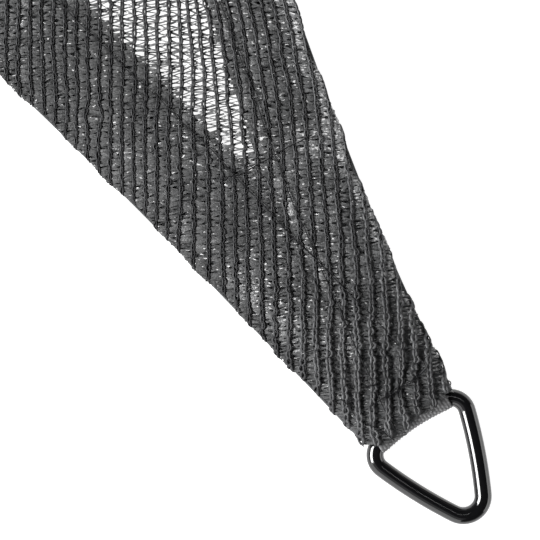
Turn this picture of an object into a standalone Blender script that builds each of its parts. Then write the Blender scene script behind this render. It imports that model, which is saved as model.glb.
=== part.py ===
"""Triangular knitted shade sail, laid out flat on a surface.

One sheet of knitted cloth with concave edges and its three hems folded under. At each corner a
webbing loop, held between the sheet and the hems, carries a black triangular ring.
Metres, +Z up. The origin is the middle of the sail on the surface, and corner A points to -Y.

Near a corner, places are given as (t, s): t across the corner, counterclockwise round the sail,
and s inwards from the axis of the ring's bar.
"""

import math

import bmesh
import bpy
import numpy as np

MM = 0.001
GAP = 0.3 * MM                   # air kept between pieces and between layers

# Sail outline
SIDE = 2.0                       # from ring bar to ring bar
EDGE_SAG = 174 * MM              # how far each edge curves in at the middle of its side
END_HALF_WIDTH = 18.5 * MM       # half the cloth's width at the ring
END_OVERHANG = 2.2 * MM          # how far the cloth reaches past the bar's axis
DRAW_IN = 3.8 * MM               # extra narrowing next to the ring
DRAW_LENGTH = 60 * MM
SQUARE_END = 40 * MM             # columns turn from square across the corner to square to the edge
LEAN_START = 60 * MM             # a corner leans aside from here to its ring
LEAN_EASE = 25 * MM

# Cloth and hems
CLOTH = 1.0 * MM
FLAP_START = 9 * MM              # the hems are cut back this far from the bar
FLAP_CLEARANCE = 2.5 * MM        # from a flap's far edge to the opposite edge of the corner
CREST_GAP = 0.55 * MM            # between the webbing and the sheet over the bar
SHOULDER_GAP = 1.4 * MM          # from the webbing's edge to where the sheet comes down beside it
FOLD_SEGMENTS = 3
TOP_ROWS = 8
FIRST_COLUMN = 3 * MM            # columns stand this close at the ring and spread by the growth
COLUMN_GROWTH = 1.28
WIDEST_COLUMN = 90 * MM
DOUBLE_HEM_END = (120 * MM, 180 * MM)    # the sheet comes down from both flaps between these
WEB_COVER_END = (142 * MM, 188 * MM)     # and from the webbing between these
BAR_COVER_END = (2 * MM, 18 * MM)        # and from the bar between these
ROD_COVER_END = (3 * MM, 9 * MM)         # and, beside the webbing, from the rod between these
SPREAD_START = (100 * MM, 190 * MM)      # rows change from the corner's to the side's spacing
FIELD_START = (8 * MM, 55 * MM)          # past the hem's edge, the field comes down to the surface
FIELD_DEPTH = (80 * MM, 160 * MM)        # where a corner is wide enough for an open field
PAST_HEM = 30 * MM

# Webbing
WEB_WIDTH = 28.6 * MM
WEB = 1.2 * MM
WEB_UPPER_LENGTH = 112 * MM
WEB_LOWER_LENGTH = 106 * MM
WEB_LOOSENESS = 0.6 * MM         # between the bar and the loop round it
UPPER_SLOPE = 12 * MM            # length over which each leg leaves the bar's top or underside
LOWER_SLOPE = 10 * MM
WEB_COLUMNS = 6
LOOP_SEGMENTS = 10

# Ring: bent rod, measured on its centre line
ROD_RADIUS = 3 * MM
RING_HALF_BAR = 12.7 * MM        # straight part of the bar, from its middle
RING_CORNER_RADIUS = 6.2 * MM
RING_NOSE_RADIUS = 7.1 * MM
RING_HEIGHT = 40.2 * MM          # bar to nose
NOSE_Z = 3.04 * MM               # the nose rests on the surface, the bar is held higher
ROD_SIDES = 12
CORNER_SEGMENTS = 7
NOSE_SEGMENTS = 9

# A row for each corner: direction from the middle of the sail, and how far it leans aside
CORNERS = {
    "a": {"bearing_deg": -90.0, "lean_deg": 2.1},
    "b": {"bearing_deg": 30.0, "lean_deg": -1.2},
    "c": {"bearing_deg": 150.0, "lean_deg": 1.5},
}
# A row for each side, named by the corner that it starts from: its hem's width
SIDES = {
    "a": {"hem": 30 * MM},
    "b": {"hem": 40 * MM},
    "c": {"hem": 40 * MM},
}
# Broad low waves in the field, with the middle of the sail in a trough
WAVES = [
    {"length": 0.83, "bearing_deg": 20.0, "phase": -1.3},
    {"length": 0.61, "bearing_deg": 95.0, "phase": -1.0},
    {"length": 0.47, "bearing_deg": 155.0, "phase": -0.6},
]
WAVE_HEIGHT = 5 * MM

# Heights of the layers' middles, from the surface up
CENTRE_RADIUS = SIDE / math.sqrt(3)
CHORD = SIDE - END_HALF_WIDTH + END_OVERHANG * math.sqrt(3)
LAYER = CLOTH + GAP
LOW_FLAP_Z = CLOTH / 2
HIGH_FLAP_Z = LOW_FLAP_Z + LAYER
HEM_TOP_Z = LOW_FLAP_Z + LAYER
LOWER_LEG_Z = HIGH_FLAP_Z + CLOTH / 2 + GAP + WEB / 2
UPPER_LEG_Z = LOWER_LEG_Z + WEB + GAP
LOOP_RADIUS = ROD_RADIUS + WEB_LOOSENESS + WEB / 2
BAR_Z = LOOP_RADIUS + WEB / 2 + 0.15 * MM
OVER_WEB_Z = UPPER_LEG_Z + WEB / 2 + GAP + CLOTH / 2
OVER_BAR_RADIUS = LOOP_RADIUS + WEB / 2 + CREST_GAP + CLOTH / 2
OVER_ROD_Z = BAR_Z + ROD_RADIUS + GAP + CLOTH / 2 + 0.1 * MM
SHOULDER = WEB_WIDTH / 2 + SHOULDER_GAP


def smooth(value, low, high):
    """0 below low, 1 above high, and an S between them."""
    share = np.clip((value - low) / (high - low), 0.0, 1.0)
    return share * share * (3.0 - 2.0 * share)


# ---------------------------------------------------------------- corner frames

def corner_axes(name):
    """Outward and sideways unit vectors of a corner."""
    angle = math.radians(CORNERS[name]["bearing_deg"])
    outward = np.array([math.cos(angle), math.sin(angle)])
    sideways = np.array([-outward[1], outward[0]])
    return outward, sideways


def corner_turn(name, s):
    """How far the corner's line is turned aside at s, in radians."""
    reach = LEAN_START - s
    share = 0.5 * (1.0 + reach / np.sqrt(reach**2 + LEAN_EASE**2))
    return math.radians(CORNERS[name]["lean_deg"]) * share


def corner_to_world(name, t, s, z):
    """World points for places (t, s) at height z: the corner's middle line bends aside, and t is
    laid off at right angles to it."""
    outward, sideways = corner_axes(name)
    t, s, z = np.broadcast_arrays(*(np.asarray(v, float) for v in (t, s, z)))
    reach = LEAN_START - s
    aside = math.tan(math.radians(CORNERS[name]["lean_deg"]))
    aside = aside * 0.5 * (reach + np.sqrt(reach**2 + LEAN_EASE**2))
    turn = corner_turn(name, s)
    along = (CENTRE_RADIUS - s) - t * np.sin(turn)
    across = aside + t * np.cos(turn)
    plan = along[..., None] * outward + across[..., None] * sideways
    return np.concatenate([plan, z[..., None]], axis=-1)


# ---------------------------------------------------------------- cloth

def edge_place(x):
    """Place of the cloth's edge at distance x along its chord, and its angle off the corner's line.

    The edge leaves its 30 degree chord by a parabola and a short draw-in next to the ring.
    """
    chord_angle = math.radians(30.0)
    inset = 4.0 * EDGE_SAG * x * (CHORD - x) / CHORD**2 + DRAW_IN * (1.0 - np.exp(-x / DRAW_LENGTH))
    slope = 4.0 * EDGE_SAG * (CHORD - 2.0 * x) / CHORD**2
    slope = slope + DRAW_IN / DRAW_LENGTH * np.exp(-x / DRAW_LENGTH)
    t = END_HALF_WIDTH + x * math.sin(chord_angle) - inset * math.cos(chord_angle)
    s = -END_OVERHANG + x * math.cos(chord_angle) + inset * math.sin(chord_angle)
    return t, s, chord_angle - np.arctan(slope)


def column_places():
    """Distances along half a side, close together at the corner and wider towards the middle."""
    steps = np.minimum(FIRST_COLUMN * COLUMN_GROWTH ** np.arange(60), WIDEST_COLUMN)
    places = np.concatenate([[0.0], np.cumsum(steps)])
    middle = CHORD / 2
    return np.append(places[places < middle - WIDEST_COLUMN / 2], middle)


def field_height(points):
    """Broad low waves that leave most of the field flat on the surface."""
    total = np.zeros(points.shape[:-1])
    for wave in WAVES:
        angle = math.radians(wave["bearing_deg"])
        along = points[..., 0] * math.cos(angle) + points[..., 1] * math.sin(angle)
        total += np.sin(2.0 * math.pi * along / wave["length"] + wave["phase"])
    return WAVE_HEIGHT * np.clip(total / len(WAVES), 0.0, 1.0) ** 1.5


def top_height(s, foot_s, at_edge):
    """Height of the sheet over hems, webbing and ring bar, away from the open field, at s on the
    line across the sail that starts from the edge at foot_s."""
    over_hems = HEM_TOP_Z + LAYER * (1.0 - smooth(foot_s, *DOUBLE_HEM_END))
    web_height = OVER_WEB_Z - HEM_TOP_Z - LAYER
    web = web_height * (1.0 - smooth(foot_s, *WEB_COVER_END))
    crown = over_hems + np.where(at_edge, 0.0, web)
    past_bar = np.minimum(s, 0.0)
    bar_top = BAR_Z + np.sqrt(np.maximum(OVER_BAR_RADIUS**2 - past_bar**2, 0.0))
    over_bar = bar_top + (crown - bar_top) * smooth(s, *BAR_COVER_END)
    over_rod = OVER_ROD_Z + (crown - OVER_ROD_Z) * smooth(s, *ROD_COVER_END)
    near_ring = np.where(at_edge, over_rod, over_bar)
    return np.where(s < BAR_COVER_END[1], near_ring, crown)


def half_side(name, sign, hem, flap_on_top):
    """Middle surface of half a side, from corner `name` to the side's middle: world points by
    column and row. The rows run from the flap's free edge, round the fold and over the sheet to
    the corner's middle line. Also returned: the first column that has a flap, and the first row
    of the sheet."""
    x = column_places()
    edge_t, edge_s, angle = edge_place(x)
    turn = angle * smooth(x, 0.0, SQUARE_END)
    direction = np.stack([-np.cos(turn), np.sin(turn)], axis=-1)
    depth = edge_t / np.cos(turn)

    lift = LAYER if flap_on_top else 0.0
    flap_z = LOW_FLAP_Z + lift * (1.0 - smooth(edge_s, *DOUBLE_HEM_END))
    edge_z = top_height(edge_s, edge_s, True)
    fold_radius = (edge_z - flap_z) / 2
    first = int(np.argmax(edge_s >= FLAP_START))
    fold_radius[:first] = fold_radius[first]
    start = fold_radius + CLOTH / 2
    width = np.minimum(hem, 2 * depth - FLAP_CLEARANCE)

    # Sheet rows: close over the webbing at a corner, by the hem's width along a side
    share = np.arange(TOP_ROWS + 1) / TOP_ROWS
    tip_rows = (depth - SHOULDER)[:, None] + SHOULDER * ((share - share[1]) / (1 - share[1]))
    tip_rows[:, 0] = start
    side_rows = np.zeros_like(tip_rows)
    hem_rows = [(start, 0.0), ((start + hem) / 2, 0.3), (hem, 0.5), (hem + PAST_HEM, 0.65)]
    for row, (distance, most_share) in enumerate(hem_rows):
        side_rows[:, row] = np.minimum(distance, np.maximum(most_share * depth, start))
    last = len(hem_rows) - 1
    rest = (np.arange(last, TOP_ROWS + 1) - last) / (TOP_ROWS - last)
    side_rows[:, last:] = side_rows[:, last:last + 1] + (depth - side_rows[:, last])[:, None] * rest
    blend = smooth(edge_s, *SPREAD_START)[:, None]
    rows = tip_rows * (1.0 - blend) + side_rows * blend
    rows[:, 0] = start
    rows[:, -1] = depth

    def place(distance):
        return (edge_t[:, None] + distance * direction[:, :1],
                edge_s[:, None] + distance * direction[:, 1:])

    top_t, top_s = place(rows)
    top_t[:, -1] = 0.0
    at_edge = np.arange(TOP_ROWS + 1)[None, :] == 0
    top_z = top_height(top_s, edge_s[:, None], at_edge)
    in_field = smooth(rows - hem, *FIELD_START) * smooth(depth, *FIELD_DEPTH)[:, None]
    top = corner_to_world(name, sign * top_t, top_s, top_z)
    top[..., 2] += (CLOTH / 2 + field_height(top) - top[..., 2]) * in_field

    flap_rows = np.stack([width, (start + width) / 2, start], axis=-1)
    flap_t, flap_s = place(flap_rows)
    flap = corner_to_world(name, sign * flap_t, flap_s, flap_z[:, None])

    arc = math.pi * np.arange(1, FOLD_SEGMENTS) / FOLD_SEGMENTS
    fold_t, fold_s = place(start[:, None] - fold_radius[:, None] * np.sin(arc))
    fold_z = (edge_z + flap_z)[:, None] / 2 - fold_radius[:, None] * np.cos(arc)
    fold = corner_to_world(name, sign * fold_t, fold_s, fold_z)

    points = np.concatenate([flap, fold, top], axis=1)
    return points, first, points.shape[1] - (TOP_ROWS + 1)


def add_grid(mesh, points, flip, first_column, first_row):
    """Faces of a grid of points. Rows before first_row begin only at first_column."""
    columns, rows = points.shape[:2]
    verts = {}

    def vert(i, j):
        if (i, j) not in verts:
            verts[i, j] = mesh.verts.new(points[i, j])
        return verts[i, j]

    for i in range(columns - 1):
        for j in range(rows - 1):
            if j < first_row and i < first_column:
                continue
            ring = [vert(i, j), vert(i + 1, j), vert(i + 1, j + 1), vert(i, j + 1)]
            mesh.faces.new(ring[::-1] if flip else ring)


def build_cloth():
    """The sheet with its hems, as a middle surface given its thickness."""
    mesh = bmesh.new()
    names = list(CORNERS)
    for index, name in enumerate(names):
        before = names[index - 1]
        halves = ((1.0, SIDES[name]["hem"], False), (-1.0, SIDES[before]["hem"], True))
        for sign, hem, flap_on_top in halves:
            points, first_column, first_row = half_side(name, sign, hem, flap_on_top)
            add_grid(mesh, points, sign < 0, first_column, first_row)
    bmesh.ops.remove_doubles(mesh, verts=mesh.verts, dist=0.05 * MM)
    cloth = new_object("sail_cloth", mesh)
    solidify = cloth.modifiers.new("thickness", "SOLIDIFY")
    solidify.thickness = CLOTH
    solidify.offset = 0.0
    solidify.use_even_offset = True
    solidify.use_quality_normals = True
    return cloth


# ---------------------------------------------------------------- webbing

def bar_bow(t):
    """How far the ring's bar has curved towards the nose at t, where the webbing is wider than
    the bar's straight part."""
    past = np.clip(np.abs(t) - RING_HALF_BAR, 0.0, RING_CORNER_RADIUS)
    return RING_CORNER_RADIUS - np.sqrt(RING_CORNER_RADIUS**2 - past**2)


def webbing_profile():
    """Places s and heights z along the webbing's middle line, from the upper leg's end, round the
    bar and back to the lower leg's end."""
    leg_start = 20 * MM
    near_upper = UPPER_SLOPE * np.array([1.0, 0.75, 0.5, 0.25])
    upper_s = np.concatenate([np.linspace(WEB_UPPER_LENGTH, leg_start, 5), near_upper])
    crest = BAR_Z + LOOP_RADIUS
    upper_z = crest + (UPPER_LEG_Z - crest) * smooth(upper_s, 0.0, UPPER_SLOPE)
    turn = math.pi * np.arange(LOOP_SEGMENTS + 1) / LOOP_SEGMENTS
    loop_s = -LOOP_RADIUS * np.sin(turn)
    loop_z = BAR_Z + LOOP_RADIUS * np.cos(turn)
    near_lower = LOWER_SLOPE * np.array([0.25, 0.5, 0.75, 1.0])
    lower_s = np.concatenate([near_lower, np.linspace(leg_start, WEB_LOWER_LENGTH, 5)])
    trough = BAR_Z - LOOP_RADIUS
    lower_z = trough + (LOWER_LEG_Z - trough) * smooth(lower_s, 0.0, LOWER_SLOPE)
    return (np.concatenate([upper_s, loop_s, lower_s]),
            np.concatenate([upper_z, loop_z, lower_z]))


def build_webbing(name):
    """One strip of webbing folded round a ring's bar."""
    s, z = webbing_profile()
    t = np.linspace(-WEB_WIDTH / 2, WEB_WIDTH / 2, WEB_COLUMNS + 1)
    follow = 1.0 - smooth(s, 0.0, LOWER_SLOPE)
    places = s[None, :] - bar_bow(t)[:, None] * follow[None, :]
    points = corner_to_world(name, t[:, None], places, z[None, :])
    mesh = bmesh.new()
    add_grid(mesh, points, False, 0, 0)
    webbing = new_object(f"webbing_{name}", mesh)
    solidify = webbing.modifiers.new("thickness", "SOLIDIFY")
    solidify.thickness = WEB
    solidify.offset = 0.0
    solidify.use_even_offset = True
    return webbing


# ---------------------------------------------------------------- ring

def ring_path():
    """Centre line of the ring, counterclockwise, as places (t, s) and outward unit normals."""
    nose_centre = -(RING_HEIGHT - RING_NOSE_RADIUS)
    run = math.hypot(RING_HALF_BAR, nose_centre + RING_CORNER_RADIUS)
    lean = math.atan2(RING_HALF_BAR, -(nose_centre + RING_CORNER_RADIUS))
    lean -= math.asin((RING_NOSE_RADIUS - RING_CORNER_RADIUS) / run)
    corner_arc = np.linspace(math.pi / 2, -lean, CORNER_SEGMENTS + 1)
    nose_arc = np.linspace(-lean, lean - math.pi, NOSE_SEGMENTS + 1)
    arcs = [
        (RING_HALF_BAR, -RING_CORNER_RADIUS, RING_CORNER_RADIUS, corner_arc),
        (0.0, nose_centre, RING_NOSE_RADIUS, nose_arc),
        (-RING_HALF_BAR, -RING_CORNER_RADIUS, RING_CORNER_RADIUS, math.pi - corner_arc[::-1]),
    ]
    places = []
    normals = []
    for centre_t, centre_s, radius, angles in arcs:
        normal = np.stack([np.cos(angles), np.sin(angles)], axis=-1)
        places.append(np.array([centre_t, centre_s]) + radius * normal)
        normals.append(normal)
    return np.concatenate(places), np.concatenate(normals)


def build_ring(name):
    """A closed ring of rod, lying on its nose with its bar held up inside the webbing."""
    places, normals = ring_path()
    half_step = math.pi / ROD_SIDES
    radius = ROD_RADIUS / math.cos(half_step)
    around = half_step + 2 * half_step * np.arange(ROD_SIDES)
    section = radius * np.stack([np.cos(around), np.sin(around)], axis=-1)
    flat = places[:, None, :] + normals[:, None, :] * section[None, :, :1]
    drop = math.asin((BAR_Z - NOSE_Z) / RING_HEIGHT)
    rise = np.broadcast_to(section[None, :, 1], flat.shape[:2])
    s = flat[..., 1] * math.cos(drop) - rise * math.sin(drop)
    z = BAR_Z + flat[..., 1] * math.sin(drop) + rise * math.cos(drop)
    t = flat[..., 0]

    outward, sideways = corner_axes(name)
    bar = corner_to_world(name, 0.0, 0.0, 0.0)[:2]
    turn = float(corner_turn(name, 0.0))
    out = math.cos(turn) * outward + math.sin(turn) * sideways
    side = math.cos(turn) * sideways - math.sin(turn) * outward
    plan = bar + t[..., None] * side - s[..., None] * out
    points = np.concatenate([plan, z[..., None]], axis=-1)

    mesh = bmesh.new()
    hoops = [[mesh.verts.new(p) for p in hoop] for hoop in points]
    for here, there in zip(hoops, hoops[1:] + hoops[:1]):
        for j in range(ROD_SIDES):
            k = (j + 1) % ROD_SIDES
            mesh.faces.new([here[j], there[j], there[k], here[k]])
    return new_object(f"ring_{name}", mesh)


# ---------------------------------------------------------------- objects

def new_object(name, mesh):
    """Object from a bmesh, with its faces pointing out and its round parts shaded smooth."""
    bmesh.ops.recalc_face_normals(mesh, faces=mesh.faces)
    data = bpy.data.meshes.new(name)
    mesh.to_mesh(data)
    mesh.free()
    data.shade_smooth()
    data.set_sharp_from_angle(angle=math.radians(40))
    item = bpy.data.objects.new(name, data)
    bpy.context.scene.collection.objects.link(item)
    return item


def new_material(name, colour, roughness, metallic):
    material = bpy.data.materials.new(name)
    material.use_nodes = True
    shader = material.node_tree.nodes["Principled BSDF"]
    shader.inputs["Base Color"].default_value = (*colour, 1.0)
    shader.inputs["Roughness"].default_value = roughness
    shader.inputs["Metallic"].default_value = metallic
    return material


def clear_scene():
    for item in list(bpy.data.objects):
        bpy.data.objects.remove(item, do_unlink=True)


def main():
    clear_scene()
    knit = new_material("charcoal_knit", (0.055, 0.056, 0.058), 0.6, 0.0)
    tape = new_material("grey_webbing", (0.14, 0.14, 0.145), 0.75, 0.0)
    black = new_material("gloss_black_rod", (0.006, 0.006, 0.007), 0.18, 0.3)
    build_cloth().data.materials.append(knit)
    for name in CORNERS:
        build_webbing(name).data.materials.append(tape)
        build_ring(name).data.materials.append(black)


main()
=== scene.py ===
import math

import bpy
import numpy as np
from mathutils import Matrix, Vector


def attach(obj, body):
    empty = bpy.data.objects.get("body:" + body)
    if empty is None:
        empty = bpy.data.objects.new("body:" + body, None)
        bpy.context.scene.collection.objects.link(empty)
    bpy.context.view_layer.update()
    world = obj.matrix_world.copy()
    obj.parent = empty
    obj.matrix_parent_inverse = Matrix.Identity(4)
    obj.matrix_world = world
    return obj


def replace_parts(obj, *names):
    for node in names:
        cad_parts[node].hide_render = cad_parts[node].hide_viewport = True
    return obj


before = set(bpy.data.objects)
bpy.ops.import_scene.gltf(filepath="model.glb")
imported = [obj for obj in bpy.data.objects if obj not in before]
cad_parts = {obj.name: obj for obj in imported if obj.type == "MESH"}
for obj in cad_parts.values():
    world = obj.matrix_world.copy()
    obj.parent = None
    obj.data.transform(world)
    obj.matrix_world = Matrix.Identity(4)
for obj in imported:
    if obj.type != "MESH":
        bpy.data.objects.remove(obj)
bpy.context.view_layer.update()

mm = 0.001


# Small helpers for numbers and meshes

def smooth(value, low, high):
    # 0 below low, 1 above high, and the S curve 3x^2 - 2x^3 between them
    share = np.clip((value - low) / (high - low), 0.0, 1.0)
    return share * share * (3.0 - 2.0 * share)


def bell(apart, reach):
    # 1 where nothing lies apart, fading as exp(-(apart / reach)^2)
    return np.exp(-(apart / reach) ** 2)


def unit(vectors):
    # Each vector divided by its length
    return vectors / np.maximum(np.linalg.norm(vectors, axis=-1, keepdims=True), 1e-12)


def raised(plan, z):
    # Plan points with their heights
    return np.concatenate([plan, z[..., None]], axis=-1)


def lengthAlong(spots):
    # Distance along a line of points, from its first
    return np.concatenate([[0.0], np.cumsum(np.linalg.norm(np.diff(spots, axis=0), axis=-1))])


def pointsAt(spots, at):
    # The points of a bent line at given distances along it
    length = lengthAlong(spots)
    return np.stack([np.interp(at, length, spots[:, k]) for k in range(2)], axis=-1)


def linked(name, data):
    # An object with this data, in the scene
    thing = bpy.data.objects.new(name, data)
    bpy.context.scene.collection.objects.link(thing)
    return thing


def makePiece(name, points, faces, material, attributes=None, uv=None, smoothShade=True):
    # An object from an array of points and a list of arrays of faces, with values per point
    mesh = bpy.data.meshes.new(name)
    points = np.array(points, float).reshape(-1, 3)
    points[:, 2] = np.maximum(points[:, 2], 0.0)    # nothing goes below the surface it lies on
    faces = [f for f in faces if len(f)]
    corners = np.concatenate([f.ravel() for f in faces])
    sizes = np.concatenate([np.full(len(f), f.shape[1]) for f in faces])
    mesh.vertices.add(len(points))
    mesh.vertices.foreach_set("co", points.astype(np.float32).ravel())
    mesh.loops.add(len(corners))
    mesh.loops.foreach_set("vertex_index", corners.astype(np.int32))
    mesh.polygons.add(len(sizes))
    mesh.polygons.foreach_set("loop_start", (np.cumsum(sizes) - sizes).astype(np.int32))
    mesh.update(calc_edges=True)
    for key, values in (attributes or {}).items():
        layer = mesh.attributes.new(key, "FLOAT", "POINT")
        layer.data.foreach_set("value", values.astype(np.float32).ravel())
    if uv is not None:
        flat = uv.astype(np.float32)[corners]
        mesh.uv_layers.new(name="cloth").data.foreach_set("uv", flat.ravel())
    if smoothShade:
        mesh.shade_smooth()
    else:
        mesh.shade_flat()
    piece = linked(name, mesh)
    mesh.materials.append(material)
    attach(piece, "root")
    return piece


def sweep(path, up, halfWidth, halfHeight, sides, roll=None, closed=False):
    # Tubes: section point = path + across w cos a + up h sin a, for many paths (M, K, 3) at once.
    # across = tangent x up, and roll turns the section about the tangent.
    if closed:
        tangent = unit(np.roll(path, -1, axis=1) - np.roll(path, 1, axis=1))
    else:
        tangent = unit(np.gradient(path, axis=1))
    across = unit(np.cross(tangent, up))
    up = np.cross(across, tangent)
    if roll is not None:
        c, s = np.cos(roll)[..., None], np.sin(roll)[..., None]
        across, up = across * c + up * s, up * c - across * s
    angle = 2.0 * math.pi * (np.arange(sides) + 0.5) / sides
    count, length = path.shape[:2]
    w = np.broadcast_to(halfWidth, (count, length))[..., None, None]
    h = np.broadcast_to(halfHeight, (count, length))[..., None, None]
    points = path[:, :, None, :] + across[:, :, None, :] * w * np.cos(angle)[:, None]
    points = points + up[:, :, None, :] * h * np.sin(angle)[:, None]
    index = np.arange(count * length * sides).reshape(count, length, sides)
    here = index if closed else index[:, :-1]
    there = np.roll(index, -1, axis=1) if closed else index[:, 1:]
    quads = [here, there, np.roll(there, -1, axis=2), np.roll(here, -1, axis=2)]
    faces = [np.stack(quads, axis=-1).reshape(-1, 4)]
    if not closed:
        faces += [index[:, 0], index[:, -1, ::-1]]
    return points.reshape(-1, 3), faces


def joined(parts):
    # Several (points, faces) as one, with the faces' numbers moved along
    starts = np.cumsum([0] + [len(points) for points, _ in parts])
    faces = [f + start for (_, some), start in zip(parts, starts) for f in some]
    return np.concatenate([points for points, _ in parts]), faces


def onlyUsed(faces, *values):
    # Faces renumbered to the points that they use, and those points' rows of each array
    used = np.unique(np.concatenate([f.ravel() for f in faces]))
    number = np.full(len(values[0]), -1)
    number[used] = np.arange(len(used))
    return [number[f] for f in faces], [some[used] for some in values]


# The sail's shape, as in the frame: places near a corner are (t, s), t across counterclockwise and
# s inwards from the ring's bar, all in metres. A pair says where a fade starts and ends.

sail = {
    "side": 2.0,
    "edgeSag": 174 * mm,
    "endHalfWidth": 18.5 * mm,
    "endOverhang": 2.2 * mm,
    "drawIn": 3.8 * mm,
    "drawLength": 60 * mm,
    "squareEnd": 40 * mm,
    "footTurn": (0.0, 35 * mm),
    "leanStart": 60 * mm,
    "leanEase": 25 * mm,
    "cloth": 1.0 * mm,
    "gap": 0.3 * mm,
    "flapStart": 9 * mm,
    "flapClearance": 2.5 * mm,
    "webWidth": 28.6 * mm,
    "web": 1.2 * mm,
    "rodToWeb": 0.6 * mm,
    "webToSurface": 0.15 * mm,
    "webToCloth": 0.55 * mm,
    "rodToCloth": 0.4 * mm,
    "shoulderGap": 1.4 * mm,
    "barCover": (2 * mm, 18 * mm),
    "rodCover": (3 * mm, 9 * mm),
    "webCover": (142 * mm, 188 * mm),
    "doubleHem": (120 * mm, 180 * mm),
    "fieldStart": (8 * mm, 55 * mm),
    "fieldDepth": (80 * mm, 160 * mm),
    "waveHeight": 5 * mm,
    "waves": ((0.83, 20.0, -1.3), (0.61, 95.0, -1.0), (0.47, 155.0, -0.6)),
}
cornersOf = {
    "a": {"bearing": -90.0, "lean": 2.1, "hem": 30 * mm},
    "b": {"bearing": 30.0, "lean": -1.2, "hem": 40 * mm},
    "c": {"bearing": 150.0, "lean": 1.5, "hem": 40 * mm},
}
sideBefore = {"a": "c", "b": "a", "c": "b"}
ring = {
    "rod": 3 * mm,
    "halfBar": 12.7 * mm,
    "cornerRadius": 6.2 * mm,
    "noseRadius": 7.1 * mm,
    "height": 40.2 * mm,
    "noseZ": 3.04 * mm,
    "sides": 40,
    "points": 200,
    "drawnRod": 3.12 * mm,          # the coated rod's radius as drawn
    "bow": 0.68 * mm,               # how far the long sides bow outwards
    "barBow": 0.95 * mm,            # and the bar
}
centreRadius = sail["side"] / math.sqrt(3)
chord = sail["side"] - sail["endHalfWidth"] + sail["endOverhang"] * math.sqrt(3)
layer = sail["cloth"] + sail["gap"]
lowFlapZ = sail["cloth"] / 2
hemTopZ = lowFlapZ + layer
lowerLegZ = hemTopZ + sail["cloth"] / 2 + sail["gap"] + sail["web"] / 2
upperLegZ = lowerLegZ + sail["web"] + sail["gap"]
loopRadius = ring["rod"] + sail["rodToWeb"] + sail["web"] / 2
barZ = loopRadius + sail["web"] / 2 + sail["webToSurface"]
overWebZ = upperLegZ + sail["web"] / 2 + sail["gap"] + sail["cloth"] / 2
overBarRadius = loopRadius + sail["web"] / 2 + sail["webToCloth"] + sail["cloth"] / 2
overRodZ = barZ + ring["rod"] + sail["rodToCloth"] + sail["cloth"] / 2
shoulder = sail["webWidth"] / 2 + sail["shoulderGap"]


def cornerAxes(name):
    # Outward and sideways unit vectors of a corner
    angle = math.radians(cornersOf[name]["bearing"])
    outward = np.array([math.cos(angle), math.sin(angle)])
    return outward, np.array([-outward[1], outward[0]])


def cornerBend(name, s):
    # The corner's line turns aside near its ring: (distance aside, angle)
    reach = sail["leanStart"] - s
    root = np.sqrt(reach**2 + sail["leanEase"]**2)
    lean = math.radians(cornersOf[name]["lean"])
    return math.tan(lean) * 0.5 * (reach + root), lean * 0.5 * (1.0 + reach / root)


def cornerToPlan(name, t, s):
    # Plan points of places (t, s)
    outward, sideways = cornerAxes(name)
    aside, turn = cornerBend(name, s)
    along = (centreRadius - s) - t * np.sin(turn)
    across = aside + t * np.cos(turn)
    return along[..., None] * outward + across[..., None] * sideways


def planToCorner(name, plan):
    # The inverse of cornerToPlan, by a few rounds of substitution
    outward, sideways = cornerAxes(name)
    along, across = plan @ outward, plan @ sideways
    s = centreRadius - along
    for _ in range(5):
        aside, turn = cornerBend(name, s)
        t = (across - aside) / np.cos(turn)
        s = centreRadius - along - t * np.sin(turn)
    return t, s


def edgePlace(x):
    # The cloth's edge at distance x along its chord: a 30 degree chord, less a parabola and a draw-in
    fade = np.exp(-x / sail["drawLength"])
    inset = 4.0 * sail["edgeSag"] * x * (chord - x) / chord**2 + sail["drawIn"] * (1.0 - fade)
    slope = 4.0 * sail["edgeSag"] * (chord - 2.0 * x) / chord**2
    slope = slope + sail["drawIn"] / sail["drawLength"] * fade
    t = sail["endHalfWidth"] + x * 0.5 - inset * math.cos(math.pi / 6)
    s = -sail["endOverhang"] + x * math.cos(math.pi / 6) + inset * 0.5
    return t, s, math.pi / 6 - np.arctan(slope)


edgeX = np.linspace(0.0, chord / 2, 1200)
edgeT, edgeS, edgeAngle = edgePlace(edgeX)


def fieldHeight(plan):
    # Broad low waves: height times the clipped mean of three sines, to the power 1.5
    total = 0.0
    for length, bearing, phase in sail["waves"]:
        angle = math.radians(bearing)
        along = plan[..., 0] * math.cos(angle) + plan[..., 1] * math.sin(angle)
        total = total + np.sin(2.0 * math.pi * along / length + phase)
    return sail["waveHeight"] * np.clip(total / len(sail["waves"]), 0.0, 1.0) ** 1.5


def crownHeight(s, footS, atEdge):
    # Height over the hems, webbing and bar, faded along the corner
    overHems = hemTopZ + layer * (1.0 - smooth(footS, *sail["doubleHem"]))
    if atEdge:
        near = overRodZ + (overHems - overRodZ) * smooth(s, *sail["rodCover"])
        return np.where(s < sail["barCover"][1], near, overHems)
    crown = overHems + (overWebZ - hemTopZ - layer) * (1.0 - smooth(footS, *sail["webCover"]))
    barTop = barZ + np.sqrt(np.maximum(overBarRadius**2 - np.minimum(s, 0.0) ** 2, 0.0))
    near = barTop + (crown - barTop) * smooth(s, *sail["barCover"])
    return np.where(s < sail["barCover"][1], near, crown)


def hemOf(name, side):
    # Hem width on a corner's side: the side that starts there, or the one that ends there
    return np.where(side > 0, cornersOf[name]["hem"], cornersOf[sideBefore[name]]["hem"])


# Where the hems' free edges show at corner a: places s and hem widths there, for each side
drawnHems = {1.0: ((105 * mm, 164 * mm), (32.7 * mm, 30.0 * mm)),
             -1.0: ((105 * mm, 192 * mm), (38.1 * mm, 40.2 * mm))}


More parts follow.
